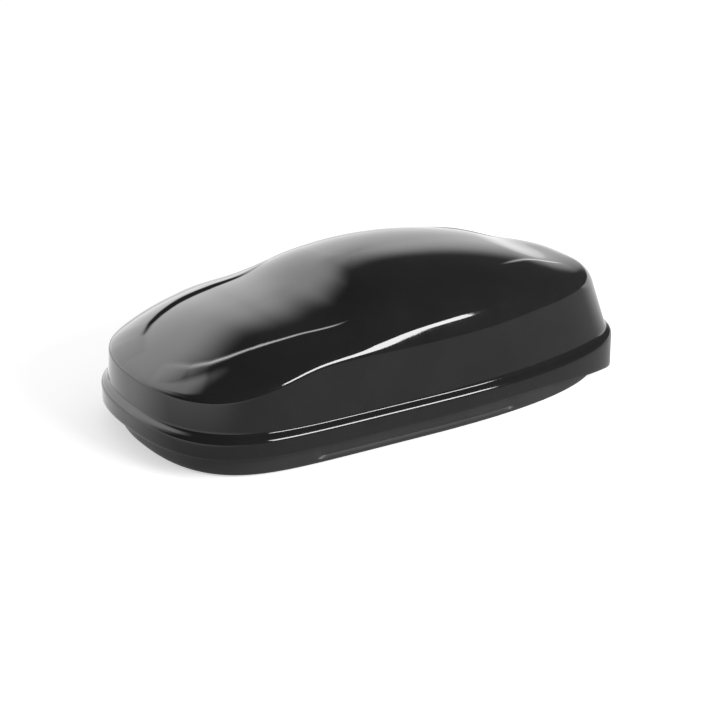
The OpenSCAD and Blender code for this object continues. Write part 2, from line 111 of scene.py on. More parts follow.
class Mat(Graph):
    """A material or a world, made of nodes."""

    def __init__(self, name, world=False):
        self.mat = (bpy.data.worlds if world else bpy.data.materials).new(name)
        self.mat.use_nodes = True
        super().__init__(self.mat.node_tree)
        self.out = self.tree.nodes.new("ShaderNodeOutputWorld" if world else "ShaderNodeOutputMaterial")

    def coords(self):
        return self.node("ShaderNodeTexCoord", output="Object")

    def noise(self, scale, detail=2.0, rough=0.5, vector=None):
        return self.node("ShaderNodeTexNoise", None, {
            "Vector": vector or self.coords(), "Scale": scale, "Detail": detail, "Roughness": rough})

    def ramp(self, fac, stops):
        return self.node("ShaderNodeValToRGB", {"stops": stops}, {"Fac": fac})

    def bump(self, height, strength, distance, normal=None):
        values = {"Height": height, "Strength": strength, "Distance": distance}
        if normal:
            values["Normal"] = normal
        return self.node("ShaderNodeBump", None, values)

    def surface(self, **sockets):
        names = {k.replace("_", " "): v for k, v in sockets.items()}
        for k, v in names.items():
            if isinstance(v, tuple) and len(v) == 3:
                names[k] = (*v, 1)
        shader = self.node("ShaderNodeBsdfPrincipled", None, names)
        self.tree.links.new(shader.socket, self.out.inputs["Surface"])
        return self.mat


print("shader helper ready")

# %% [markdown]
# ## The finishes
# The lid is extruded ABS sheet with a thin acrylic cap, so it is nearly black with a deep gloss, a very
# faint orange peel left by the forming, and fine swirl marks that only change its roughness. The tray is
# the same plastic pressed against an etched mould, so it has a fine leather grain and a soft sheen.

# %% Gloss and textured plastics
def gloss_shell():
    m = Mat("gloss_black_abs")
    dust = m.noise(9, 6, 0.6)
    swirl = m.noise(60, 3, 0.5)
    peel = m.noise(95, 2, 0.5)
    fine = m.noise(420, 2, 0.5)
    rough = m.ramp(dust * 0.6 + swirl * 0.4, [(0.35, 0.045), (0.7, 0.10)])
    colour = m.ramp(dust, [(0.3, (0.0075, 0.0075, 0.008)), (0.75, (0.0105, 0.0105, 0.0105))])
    normal = m.bump(peel, 0.06, 0.0004, m.bump(fine, 0.03, 0.0001))
    return m.surface(Base_Color=colour, Roughness=rough, Normal=normal, IOR=1.5)


def textured_shell():
    m = Mat("grained_black_abs")
    cells = m.node("ShaderNodeTexVoronoi", {"feature": "F1"}, {"Vector": m.coords(), "Scale": 620.0})
    grain = m.noise(1500, 2, 0.6)
    patch = m.noise(7, 5, 0.6)
    rough = m.ramp(patch, [(0.3, 0.42), (0.75, 0.56)])
    shades = [(0.3, (0.017, 0.017, 0.0175)), (0.75, (0.026, 0.026, 0.027))]
    colour = m.ramp(patch * 0.7 + grain * 0.3, shades)
    normal = m.bump(cells * 0.7 + grain * 0.3, 0.35, 0.0003)
    return m.surface(Base_Color=colour, Roughness=rough, Normal=normal)


def nylon():
    m = Mat("moulded_nylon")
    grain = m.noise(900, 3, 0.6)
    patch = m.noise(24, 4, 0.5)
    rough = m.ramp(patch, [(0.3, 0.38), (0.7, 0.52)])
    colour = m.ramp(patch, [(0.3, (0.018, 0.018, 0.019)), (0.8, (0.03, 0.03, 0.031))])
    return m.surface(Base_Color=colour, Roughness=rough, Normal=m.bump(grain, 0.25, 0.0002))


print("plastics", [f.__name__ for f in (gloss_shell, textured_shell, nylon)])

# %% [markdown]
# The steel hardware is bright zinc plate, which shows a faint crystalline patchwork. The stay rods and the
# lock face are hard chrome, the rivets and rails are drawn aluminium with lines along their length, and
# the straps are woven polyester. The seal and the mat are soft rubber.

# %% Metals, rubber and webbing
def zinc_steel():
    m = Mat("zinc_plated_steel")
    spangle = m.node("ShaderNodeTexVoronoi", {"feature": "F1"},
                     {"Vector": m.coords(), "Scale": 260.0}, "Color")
    spangle = m.node("ShaderNodeRGBToBW", None, {"Color": spangle})
    grime = m.noise(45, 5, 0.6)
    rough = m.ramp(spangle * 0.5 + grime * 0.5, [(0.25, 0.24), (0.8, 0.42)])
    colour = m.ramp(spangle * 0.4 + grime * 0.6, [(0.25, (0.43, 0.44, 0.45)), (0.8, (0.62, 0.63, 0.65))])
    return m.surface(Base_Color=colour, Roughness=rough, Metallic=1.0, Normal=m.bump(grime, 0.1, 0.0002))


def drawn_aluminium():
    m = Mat("drawn_aluminium")
    stretched = m.node("ShaderNodeMapping", None, {"Vector": m.coords(), "Scale": (8, 900, 900)})
    lines = m.noise(1.0, 3, 0.6, stretched)
    rough = m.ramp(lines, [(0.3, 0.22), (0.7, 0.38)])
    colour = m.ramp(lines, [(0.3, (0.60, 0.61, 0.62)), (0.7, (0.74, 0.745, 0.75))])
    return m.surface(Base_Color=colour, Roughness=rough, Metallic=1.0, Normal=m.bump(lines, 0.12, 0.0001))


def chrome():
    m = Mat("hard_chrome")
    wear = m.noise(130, 4, 0.6)
    rough = m.ramp(wear, [(0.35, 0.05), (0.75, 0.13)])
    return m.surface(Base_Color=(0.72, 0.73, 0.74), Roughness=rough, Metallic=1.0)


def satin_paint():
    m = Mat("satin_black_paint")
    peel = m.noise(260, 2, 0.5)
    rough = m.ramp(m.noise(40, 4, 0.6), [(0.3, 0.26), (0.7, 0.36)])
    return m.surface(Base_Color=(0.016, 0.016, 0.017), Roughness=rough, Normal=m.bump(peel, 0.1, 0.0002))


def rubber():
    m = Mat("soft_rubber")
    patch = m.noise(30, 5, 0.6)
    rough = m.ramp(patch, [(0.3, 0.62), (0.75, 0.8)])
    colour = m.ramp(patch, [(0.3, (0.014, 0.014, 0.014)), (0.8, (0.027, 0.027, 0.027))])
    return m.surface(Base_Color=colour, Roughness=rough, Normal=m.bump(m.noise(1100, 2, 0.6), 0.2, 0.0002))


def webbing():
    m = Mat("woven_webbing")
    axes = m.node("ShaderNodeSeparateXYZ", None, {"Vector": m.coords()}).socket.node
    x, y, z = (Sock(m, axes.outputs[k]) for k in range(3))
    warp = (x * 5200).op("SINE") * 0.5 + 0.5
    weft = ((y + z) * 3100).op("SINE") * 0.5 + 0.5
    edge = (x * 250).op("SINE").op("ABSOLUTE")
    weave = warp * 0.6 + weft * 0.4
    wear = m.noise(60, 4, 0.6)
    colour = m.ramp(weave * 0.6 + wear * 0.4, [(0.1, (0.012, 0.012, 0.013)), (0.85, (0.055, 0.055, 0.058))])
    rough = 0.8 + 0.1 * edge
    return m.surface(Base_Color=colour, Roughness=rough, Normal=m.bump(weave, 0.7, 0.0004), Sheen_Weight=0.2)


FINISH = {
    "gloss_shell": gloss_shell(), "textured_shell": textured_shell(), "black_nylon": nylon(),
    "zinc_steel": zinc_steel(), "rivet_aluminium": drawn_aluminium(), "polished_chrome": chrome(),
    "black_paint": satin_paint(), "seal_rubber": rubber(), "webbing": webbing(),
}
for part in frame["record"]["subparts"]:
    node = frame["nodes"][part["node"]]
    node.data.materials.clear()
    node.data.materials.append(FINISH[part["material_slot"]])
print("finishes", sorted(FINISH))

# %% [markdown]
# ## The shape's rule
# Both shells share one outline in plan: a flattened oval, squarer at the nose than at the tail. Along the
# length, smooth curves give the height of the side wall and the height of the dome above it. Writing the
# rule once means that the lid, the tray and the seal always agree.

# %% Sizes and curves
HALF_L, HALF_W, SHIFT = 0.700, 0.360, 0.042
BAND_Z = 0.112
NOSE_N, NOSE_M, TAIL_N, TAIL_M = 6.4, 2.36, 2.35, 2.89
STEP_W, STEP_RISE = 0.016, 0.010
SHEET = 0.0032
BAND_EDGE = 0.012
DRAFT_NOSE, DRAFT_TAIL = 0.056, 0.32
CROWN_POWER = 0.64
SECTION_X = [-0.70, -0.54, -0.36, -0.12, 0.10, 0.24, 0.35, 0.45, 0.56, 0.70]
SHOULDER_H = [0.150, 0.172, 0.171, 0.155, 0.1525, 0.154, 0.145, 0.118, 0.0935, 0.081]
CROWN_H = [0.071, 0.045, 0.101, 0.139, 0.1245, 0.062, 0.053, 0.067, 0.062, 0.0305]
SKIRT_X = [-0.70, -0.64, -0.56, -0.45, -0.35, -0.20, 0.0, 0.70]
SKIRT_H = [0.104, 0.094, 0.074, 0.057, 0.046, 0.042, 0.044, 0.045]


def spline(x, xs, ys):
    xs, ys = np.array(xs), np.array(ys)
    m = np.gradient(ys)
    m[1:-1] = (ys[2:] - ys[:-2]) / (xs[2:] - xs[:-2])
    m[0], m[-1] = (ys[1] - ys[0]) / (xs[1] - xs[0]), (ys[-1] - ys[-2]) / (xs[-1] - xs[-2])
    x = np.clip(x, xs[0], xs[-1])
    i = np.clip(np.searchsorted(xs, x, side="right") - 1, 0, len(xs) - 2)
    h = xs[i + 1] - xs[i]
    t = (x - xs[i]) / h
    return ((2 * t**3 - 3 * t**2 + 1) * ys[i] + (t**3 - 2 * t**2 + t) * h * m[i]
            + (3 * t**2 - 2 * t**3) * ys[i + 1] + (t**3 - t**2) * h * m[i + 1])


def quarter(n, m, corner, k1, k2):
    x1 = np.linspace(0, corner, k1 + 1)
    y1 = (1 - x1**n) ** (1 / m)
    y2 = np.linspace(y1[-1], 0, k2 + 1)[1:]
    x2 = (1 - y2**m) ** (1 / n)
    return np.r_[x1, x2], np.r_[y1, y2]


def unit_outline(k1=44, k2=44):
    xf, yf = quarter(NOSE_N, NOSE_M, 0.88, k1, k2)
    xr, yr = quarter(TAIL_N, TAIL_M, 0.80, k1, k2)
    x, y = np.r_[xf[::-1], -xr[1:]], np.r_[yf[::-1], yr[1:]]
    return np.r_[x, x[-2:0:-1]], np.r_[y, -y[-2:0:-1]]


UX, UY = unit_outline()
REACH = np.where(UX >= 0, HALF_L - SHIFT, HALF_L + SHIFT)
POW_N = np.where(UX >= 0, NOSE_N, TAIL_N)
turn = np.clip((UX + 0.6) / 1.2, 0, 1)
POW_M = TAIL_M + (NOSE_M - TAIL_M) * turn * turn * (3 - 2 * turn)
END_SHARE = np.abs(UX) ** POW_N
COLS = len(UX)
print("outline columns", COLS)

# %% [markdown]
# A vertical wall meets the dome at a shoulder. On the real lid that edge is crisp round the nose and soft
# at the tail, so the profile of each column is drawn first as wall and dome, and then the corner between
# them is replaced with a short curve whose size changes along the box.

# %% Lid surface
def draft(x):
    return DRAFT_NOSE + (DRAFT_TAIL - DRAFT_NOSE) * ((HALF_L - x) / (2 * HALF_L)) ** 2


def plan(inset):
    return SHIFT + (REACH - inset) * UX, (HALF_W - inset) * UY


FOOT_X = plan(STEP_W)[0]
WALL_H = spline(FOOT_X, SECTION_X, SHOULDER_H)
WALL_INSET = STEP_W + draft(FOOT_X) * (WALL_H - STEP_RISE)

# the two pressed creases that start at the nose and the two that end at the tail, as x, y, height
FRONT_CREASE = [(0.626, 0.052, 0.0), (0.616, 0.078, 0.0010), (0.590, 0.132, 0.0028), (0.553, 0.166, 0.0048),
                (0.514, 0.185, 0.0060), (0.474, 0.197, 0.0068), (0.433, 0.207, 0.0068), (0.39, 0.214, 0.0064),
                (0.33, 0.221, 0.0054), (0.27, 0.230, 0.0038), (0.21, 0.241, 0.002), (0.14, 0.252, 0.0)]
REAR_CREASE = [(-0.20, 0.217, 0.0), (-0.26, 0.203, 0.0015), (-0.32, 0.184, 0.003), (-0.38, 0.164, 0.0038),
               (-0.43, 0.150, 0.0036), (-0.48, 0.140, 0.002), (-0.53, 0.133, 0.0)]


def crease_lift(x, y, line, rise, run):
    """Height of a pressed crease: a quick rise on its outer side and a long fall on its inner side."""
    best = np.full(x.shape, 1e9)
    lift = np.zeros(x.shape)
    pts = np.array(line)
    fine = np.linspace(0, len(pts) - 1, 12 * len(pts))
    pts = np.stack([np.interp(fine, range(len(line)), pts[:, k]) for k in range(3)], 1)
    yy = np.abs(y)
    for a, b in zip(pts[:-1], pts[1:]):
        d = b[:2] - a[:2]
        length = math.hypot(*d)
        t = np.clip(((x - a[0]) * d[0] + (yy - a[1]) * d[1]) / length**2, 0, 1)
        px, py = x - a[0] - t * d[0], yy - a[1] - t * d[1]
        dist = np.hypot(px, py)
        outside = px * d[1] - py * d[0] < 0
        u = np.where(outside, dist / rise, dist / run)
        fall = np.where(u < 1, np.cos(np.pi / 2 * np.minimum(u, 1)) ** 2, 0)
        near = dist < best
        best = np.where(near, dist, best)
        lift = np.where(near, (a[2] + t * (b[2] - a[2])) * fall, lift)
    return lift


def dome_z(x, y, rho):
    rise = np.maximum(1 - rho, 0) ** CROWN_POWER
    return BAND_Z + spline(x, SECTION_X, SHOULDER_H) + spline(x, SECTION_X, CROWN_H) * rise


def dome_ring(f, thick=0.0):
    """One ring of the dome. f is 1 at the shoulder and 0 in the middle, as one value or one per column."""
    ins = WALL_INSET + thick
    x = SHIFT + (REACH - ins) * UX * f
    y = (HALF_W - ins) * UY * f
    rho = END_SHARE * f**POW_N + (1 - END_SHARE) * f**POW_M
    z = dome_z(x, y, rho) - thick
    for line, rise, run in ((FRONT_CREASE, 0.015, 0.14), (REAR_CREASE, 0.016, 0.12)):
        z = z + crease_lift(x, y, line, rise, run)
    return np.stack([x, y, z], 1)


def flat_ring(inset, z):
    x, y = plan(inset)
    return np.stack([x, y, np.broadcast_to(z, x.shape)], 1)


def wall_point(drop):
    """A point on the wall, a distance below the shoulder."""
    ins = WALL_INSET - draft(FOOT_X) * drop
    x, y = plan(ins)
    return np.stack([x, y, BAND_Z + WALL_H - drop], 1)


def bezier(a, c, b, n):
    return [(1 - t) ** 2 * a + 2 * t * (1 - t) * c + t**2 * b for t in np.linspace(0, 1, n)]


ROUND_X = [-0.70, -0.45, -0.1, 0.25, 0.45, 0.70]
ROUND_R = [0.030, 0.022, 0.014, 0.010, 0.004, 0.0035]
round_r = spline(FOOT_X, ROUND_X, ROUND_R)
near_edge, edge = dome_ring(0.9), dome_ring(1)
radial = np.hypot(near_edge[:, 0] - edge[:, 0], near_edge[:, 1] - edge[:, 1]) / 0.1
print("shoulder radius mm", round(float(round_r.min()) * 1000, 1), "to", round(float(round_r.max()) * 1000, 1))

# %% [markdown]
# One helper closes a stack of rings into a skin. The rings run from the middle of the dome, over the
# shoulder, down the wall, across the step, down the skirt, and back up on the inside, so the shell has its
# real wall thickness and one continuous surface with no open edge.

# %% Skin from rings
def add_object(name, mesh):
    obj = bpy.data.objects.new(name, mesh)
    bpy.context.scene.collection.objects.link(obj)
    return obj


def skin(name, first, rings, last, material):
    verts = [tuple(first)] + [tuple(p) for r in rings for p in r] + [tuple(last)]
    n, end = COLS, len(verts) - 1
    faces = [(0, 1 + (j + 1) % n, 1 + j)[::-1] for j in range(n)]
    for i in range(len(rings) - 1):
        a = 1 + i * n
        faces += [(a + j, a + n + j, a + n + (j + 1) % n, a + (j + 1) % n) for j in range(n)]
    a = 1 + (len(rings) - 1) * n
    faces += [(a + j, end, a + (j + 1) % n) for j in range(n)]
    mesh = bpy.data.meshes.new(name)
    mesh.from_pydata(verts, [], faces)
    mesh.materials.append(material)
    mesh.validate()
    obj = add_object(name, mesh)
    mesh.polygons.foreach_set("use_smooth", [True] * len(mesh.polygons))
    return obj


def lerp_f(width):
    """The dome ring fraction that lies a distance in from the shoulder, per column."""
    return 1 - width / np.maximum(radial, 1e-4)


f_edge = lerp_f(round_r)
rings = [dome_ring(f_edge * s) for s in np.linspace(0.02, 1, 84) ** 0.85]
rings += bezier(dome_ring(f_edge), dome_ring(1.0), wall_point(round_r * 1.2), 12)[1:]
drop_to_foot = WALL_H - STEP_RISE - 0.004
rings += [wall_point(round_r * 1.2 * (1 - s) + drop_to_foot * s) for s in np.linspace(0, 1, 14)[1:]]
# inner fillet, sloping step and rounded outer edge of the band
for inset, z in [(0.01560, 0.0116), (0.01500, 0.0098), (0.01385, 0.0084), (0.0124, 0.0073), (0.0104, 0.0060),
                 (0.0082, 0.0046), (0.0064, 0.0034), (0.0046, 0.0019), (0.0031, 0.0002), (0.0018, -0.0021),
                 (0.0008, -0.0048), (0.0002, -0.0078), (0.0, -0.012)]:
    rings.append(flat_ring(inset, BAND_Z + z))
skirt = spline(plan(0)[0], SKIRT_X, SKIRT_H)
for s in np.linspace(0, 1, 7)[1:-1]:
    rings.append(flat_ring(0.0, BAND_Z - BAND_EDGE - (skirt - 0.014) * s))
# the skirt's lower lip, then back up the inside
for inset, up in [(0.0, 0.0012), (0.0005, 0.0003), (0.0012, 0.0), (0.0021, 0.0), (0.0028, 0.0003),
                  (0.0032, 0.0012)]:
    rings.append(flat_ring(inset, BAND_Z - skirt + up))
for inset, z in [(0.0032, -0.012), (0.0036, -0.006), (0.0055, -0.0025), (0.0085, -0.0005), (0.012, 0.002),
                 (0.0155, 0.0045), (0.0180, 0.0065), (0.0190, 0.0095)]:
    rings.append(flat_ring(inset, BAND_Z + z))
inner_wall = [wall_point(d) for d in (drop_to_foot * 0.97, drop_to_foot * 0.5, round_r * 1.2)]
ratio_x = 1 - SHEET / (REACH - WALL_INSET)
ratio_y = 1 - SHEET / (HALF_W - WALL_INSET)
for w in inner_wall:
    rings.append(np.stack([SHIFT + (w[:, 0] - SHIFT) * ratio_x, w[:, 1] * ratio_y, w[:, 2]], 1))
rings += [dome_ring(f_edge * s, SHEET) for s in np.linspace(1, 0.02, 40)]
top = dome_z(np.array([SHIFT]), np.array([0.0]), np.array([0.0]))[0]
lid = skin("lid_shell", (SHIFT, 0, top), rings, (SHIFT, 0, top - SHEET), FINISH["gloss_shell"])
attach(lid, "lid")
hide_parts("lid")
print("lid faces", len(lid.data.polygons), "top", round(float(top), 4))

# %% [markdown]
# ## The tray
# The tray is pressed from the same sheet. Its wall steps in under the lid's skirt, runs down with a
# shallow panel let into each long side for stiffness, and turns under in a generous curve.

# %% Tray shell
def smooth(x, a, b):
    t = np.clip((x - a) / (b - a), 0, 1)
    return t * t * (3 - 2 * t)


PANEL_TAIL, PANEL_NOSE, PANEL_FADE, PANEL_DEPTH = -0.24, 0.345, 0.012, 0.007
wall_x, wall_y = plan(0.045)
along = smooth(wall_x, PANEL_TAIL - PANEL_FADE, PANEL_TAIL + PANEL_FADE)
along = along * smooth(-wall_x, -PANEL_NOSE - PANEL_FADE, -PANEL_NOSE + PANEL_FADE)
PANEL = PANEL_DEPTH * along * (np.abs(wall_y) > 0.15)


def tray_ring(inset, z, panel=0.0):
    x, y = plan(inset + PANEL * panel)
    return np.stack([x, y, np.full(x.shape, z)], 1)


inner = [(0.300, 0.0032, 0), (0.190, 0.0032, 0), (0.100, 0.0032, 0), (0.064, 0.0036, 0),
         (0.055, 0.0068, 0), (0.049, 0.0120, 0), (0.0455, 0.019, .3), (0.0435, 0.027, 1),
         (0.0410, 0.040, 1), (0.0388, 0.050, .4), (0.0355, 0.0585, 0), (0.0305, 0.0640, 0),
         (0.0296, 0.067, 0), (0.0292, 0.085, 0), (0.0292, 0.1030, 0), (0.0284, 0.1040, 0)]
outer = [(0.0158, 0.1040, 0), (0.0150, 0.1032, 0), (0.0150, 0.1018, 0), (0.0158, 0.1010, 0),
         (0.0235, 0.1004, 0), (0.0256, 0.0985, 0), (0.0260, 0.094, 0), (0.0260, 0.069, 0),
         (0.0266, 0.0655, 0), (0.0282, 0.0628, 0), (0.0312, 0.0595, 0), (0.0336, 0.0560, 0),
         (0.0350, 0.0525, .0), (0.0356, 0.0505, .5), (0.0361, 0.0485, 1), (0.0374, 0.040, 1),
         (0.0390, 0.030, 1), (0.0404, 0.0215, 1), (0.0412, 0.0185, .5), (0.0420, 0.0160, 0),
         (0.0436, 0.0112, 0), (0.0462, 0.0070, 0), (0.0502, 0.0036, 0), (0.0555, 0.0014, 0),
         (0.0610, 0.0003, 0), (0.0660, 0.0, 0), (0.100, 0.0, 0), (0.190, 0.0, 0), (0.300, 0.0, 0)]
tray = [tray_ring(*r) for r in inner + outer]
shell = skin("tray_shell", (SHIFT, 0, SHEET), tray, (SHIFT, 0, 0), FINISH["textured_shell"])
print("tray faces", len(shell.data.polygons))

# %% [markdown]
# The two floor channels are separate pieces, so the tray needs an opening for each. A boolean subtracts a
# box, and the result is kept as plain mesh.

# %% Box cutter
def box_mesh(name, lo, hi):
    bm = bmesh.new()
    bmesh.ops.create_cube(bm, size=1)
    lo, hi = Vector(lo), Vector(hi)
    for v in bm.verts:
        v.co = Vector([lo[k] + (v.co[k] + 0.5) * (hi[k] - lo[k]) for k in range(3)])
    mesh = bpy.data.meshes.new(name)
    bm.to_mesh(mesh)
    bm.free()
    return add_object(name, mesh)


def cut_boxes(obj, boxes, angle):
    """Subtract boxes from an object, then shade it smooth up to an angle in degrees."""
    cutters = [box_mesh(f"cut_{i}", *b) for i, b in enumerate(boxes)]
    for cutter in cutters:
        mod = obj.modifiers.new("cut", "BOOLEAN")
        mod.operation, mod.object, mod.solver = "DIFFERENCE", cutter, "EXACT"
    mesh = bpy.data.meshes.new_from_object(obj.evaluated_get(bpy.context.evaluated_depsgraph_get()))
    obj.modifiers.clear()
    obj.data = mesh
    for cutter in cutters:
        bpy.data.objects.remove(cutter)
    mesh.polygons.foreach_set("use_smooth", [True] * len(mesh.polygons))
    mesh.set_sharp_from_angle(angle=math.radians(angle))


CHANNEL_X, CHANNEL_Y, CHANNEL_HALF_W = 0.3855, 0.2, 0.0305
cut_boxes(shell, [((-CHANNEL_X, y - CHANNEL_HALF_W, -0.01), (CHANNEL_X, y + CHANNEL_HALF_W, 0.02))
                  for y in (-CHANNEL_Y, CHANNEL_Y)], 40)
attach(shell, "base")
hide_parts("base_tray")
print("tray faces after the cut", len(shell.data.polygons))

# %% [markdown]
# ## Repeats with Geometry Nodes
# A rivet, a rib and a strap are each one small idea used many times. A node group holds the idea, its named
# inputs hold the sizes, and the script feeds it points or a path. The result is turned into plain mesh at
# once, so the finished object needs no modifier.

# %% Geometry Nodes helper
class Geo(Graph):
    """A node group for a Geometry Nodes modifier. inputs maps each name to its socket type and value."""

    def __init__(self, name, inputs):
        super().__init__(bpy.data.node_groups.new(name, "GeometryNodeTree"))
        face = self.tree.interface
        face.new_socket("Geometry", in_out="INPUT", socket_type="NodeSocketGeometry")
        face.new_socket("Geometry", in_out="OUTPUT", socket_type="NodeSocketGeometry")
        for key, (kind, value) in inputs.items():
            socket = face.new_socket(key, in_out="INPUT", socket_type=kind)
            if value is not None:
                socket.default_value = value
        group = self.tree.nodes.new("NodeGroupInput")
        self.ins = {o.name: Sock(self, o) for o in group.outputs if o.name}

    def close(self, geometry):
        solid = self.node("GeometryNodeRealizeInstances", None, {0: geometry})
        done = self.node("GeometryNodeSetMaterial", None,
                         {"Geometry": solid, "Material": self.ins["Material"]})
        end = self.tree.nodes.new("NodeGroupOutput")
        self.tree.links.new(done.socket, end.inputs[0])
        return self.tree


def host(name, points, edges=()):
    mesh = bpy.data.meshes.new(name)
    mesh.from_pydata([tuple(p) for p in points], list(edges), [])
    return add_object(name, mesh)


def grow(obj, group, **inputs):
    """Run a node group on an object and keep the result as its plain mesh."""
    mod = obj.modifiers.new("grow", "NODES")
    mod.node_group = group
    for item in group.interface.items_tree:
        if item.in_out == "INPUT" and item.name in inputs:
            mod[item.identifier] = inputs[item.name]
    bpy.context.view_layer.update()
    mesh = bpy.data.meshes.new_from_object(obj.evaluated_get(bpy.context.evaluated_depsgraph_get()))
    obj.modifiers.clear()
    obj.data = mesh
    mesh.polygons.foreach_set("use_smooth", [True] * len(mesh.polygons))
    mesh.set_sharp_from_angle(angle=math.radians(38))
    return obj


def islands(node):
    """The lowest and the highest corner of each separate solid in a CAD node."""
    bm = bmesh.new()
    bm.from_mesh(frame["nodes"][node].data)
    bm.transform(frame["nodes"][node].matrix_world)
    found, seen = [], set()
    for v in bm.verts:
        if v.index in seen:
            continue
        heap, group = [v], []
        seen.add(v.index)
        while heap:
            one = heap.pop()
            group.append(one.co.copy())
            for e in one.link_edges:
                other = e.other_vert(one)
                if other.index not in seen:
                    seen.add(other.index)
                    heap.append(other)
        pts = np.array(group)
        found.append((pts.min(0), pts.max(0)))
    bm.free()
    return found


print("geometry nodes helper ready")

# %% [markdown]
# A rivet head is a flattened ball with a dimple line where it meets the plate. The points are the centres
# of the plain rivets in the frame, so each finished head sits exactly where the frame holds it.

# %% Rivets
def rivet_group():
    g = Geo("rivet_heads", {"Radius": ("NodeSocketFloat", 0.0045), "Height": ("NodeSocketFloat", 0.0021),
                            "Material": ("NodeSocketMaterial", None)})
    ball = g.node("GeometryNodeMeshUVSphere", None, {"Segments": 24, "Rings": 12, "Radius": 1.0})
    size = g.node("ShaderNodeCombineXYZ", None, {0: g.ins["Radius"], 1: g.ins["Height"], 2: g.ins["Radius"]})
    head = g.node("GeometryNodeTransform", None, {"Geometry": ball, "Scale": size})
    flange = g.node("GeometryNodeMeshCylinder", None, {"Vertices": 24, "Radius": 1.0, "Depth": 1.0})
    turn = (math.pi / 2, 0, 0)
    wide = g.node("ShaderNodeCombineXYZ", None, {0: g.ins["Radius"] * 1.12, 1: g.ins["Radius"] * 1.12,
                                                 2: g.ins["Height"] * 0.35})
    ring = g.node("GeometryNodeTransform", None, {"Geometry": flange, "Rotation": turn, "Scale": wide})
    both = g.node("GeometryNodeJoinGeometry", None, {0: [head, ring]})
    heads = g.node("GeometryNodeInstanceOnPoints", None, {"Points": g.ins["Geometry"], "Instance": both})
    return g.close(heads)


rivets = rivet_group()
# each row: the plain rivets, the body they ride on, and whether their heads face the hinge side
for node, body, hinge_side in (("hinge_bracket_rivets", "base", 1), ("keeper_rivets", "base", 0),
                               ("hinge_arm_rivets", "lid", 1)):
    spots = [((lo[0] + hi[0]) / 2, hi[1] if hinge_side else lo[1], (lo[2] + hi[2]) / 2)
             for lo, hi in islands(node)]
    heads = grow(host(node.replace("rivets", "heads"), spots), rivets, Material=FINISH["rivet_aluminium"])
    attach(heads, body)
    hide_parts(node)
    print(node, "->", len(spots), "heads")

# %% [markdown]
# Webbing is a flat ribbon that follows a path. The path is a short list of points; the group smooths it,
# and sweeps a rounded rectangle along it with its wide side kept level. Straps lie in gentle waves, so the
# middle of each one lifts a little between its anchor and its buckle.

# %% Webbing straps
def ribbon_group():
    g = Geo("webbing_ribbon", {"Width": ("NodeSocketFloat", 0.025), "Thickness": ("NodeSocketFloat", 0.0014),
                               "Material": ("NodeSocketMaterial", None)})
    line = g.node("GeometryNodeMeshToCurve", None, {0: g.ins["Geometry"]})
    kind = g.node("GeometryNodeCurveSplineType", {"spline_type": "CATMULL_ROM"}, {"Curve": line})
    fine = g.node("GeometryNodeResampleCurve", None, {"Curve": kind, "Count": 160})
    level = g.node("GeometryNodeSetCurveNormal", {"mode": "FREE"}, {"Curve": fine, "Normal": (1, 0, 0)})
    shape = g.node("GeometryNodeCurvePrimitiveQuadrilateral", None,
                   {"Width": g.ins["Width"], "Height": g.ins["Thickness"]})
    soft = g.node("GeometryNodeFilletCurve", None, {"Curve": shape, "Radius": g.ins["Thickness"] * 0.42})
    soft.socket.node.mode = "POLY"
    soft.socket.node.inputs["Count"].default_value = 3
    swept = g.node("GeometryNodeCurveToMesh", None, {"Curve": level, "Profile Curve": soft, "Fill Caps": True})
    return g.close(swept)


def strap(name, points, width=0.025):
    path = host(name, points, [(i, i + 1) for i in range(len(points) - 1)])
    band = grow(path, ribbon, Width=width, Material=FINISH["webbing"])
    return band


ribbon = ribbon_group()
STRAP_Z, FLOOR_Z = 0.0112, 0.0078
wave = [(-0.158, FLOOR_Z + 0.002), (-0.150, STRAP_Z - 0.0005), (-0.140, STRAP_Z - 0.0005),
        (-0.128, 0.0125), (-0.10, 0.0105), (-0.06, 0.0085), (-0.02, 0.0095), (0.005, 0.0125),
        (0.024, 0.0115), (0.040, STRAP_Z), (0.064, STRAP_Z), (0.080, 0.0118), (0.10, 0.0100),
        (0.120, 0.0108), (0.130, 0.0122), (0.140, STRAP_Z - 0.0005), (0.150, STRAP_Z - 0.0005),
        (0.158, FLOOR_Z + 0.002)]
bands = []
for k, x in enumerate((0.15, -0.15)):
    route = [(x + 0.0006 * math.sin(9 * i + k), y, z) for i, (y, z) in enumerate(wave)]
    bands.append(strap(f"load_strap_{k + 1}", route))
    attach(bands[-1], "base")
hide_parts("load_straps")
lo, hi = islands("pull_strap")[0]
mid_x, mid_y = (lo[0] + hi[0]) / 2, (lo[1] + hi[1]) / 2
drop = [(0.0, 1.0), (-0.0015, 0.86), (-0.003, 0.68), (-0.0042, 0.5), (-0.004, 0.3), (-0.002, 0.12),
        (0.0016, 0.02), (0.0052, 0.05), (0.0066, 0.2), (0.0062, 0.4), (0.0048, 0.6), (0.0036, 0.8),
        (0.0030, 0.98)]
pull = strap("pull_loop", [(mid_x, mid_y + a, lo[2] + (hi[2] - lo[2]) * b) for a, b in drop])
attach(pull, "lid")
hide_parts("pull_strap")
print("straps", [o.name for o in bands + [pull]])

# %% [markdown]
# The mat is a thin rubber sheet with round corners. Its ribs stop a bag from sliding, and they are one
# half-round bar repeated along a line.

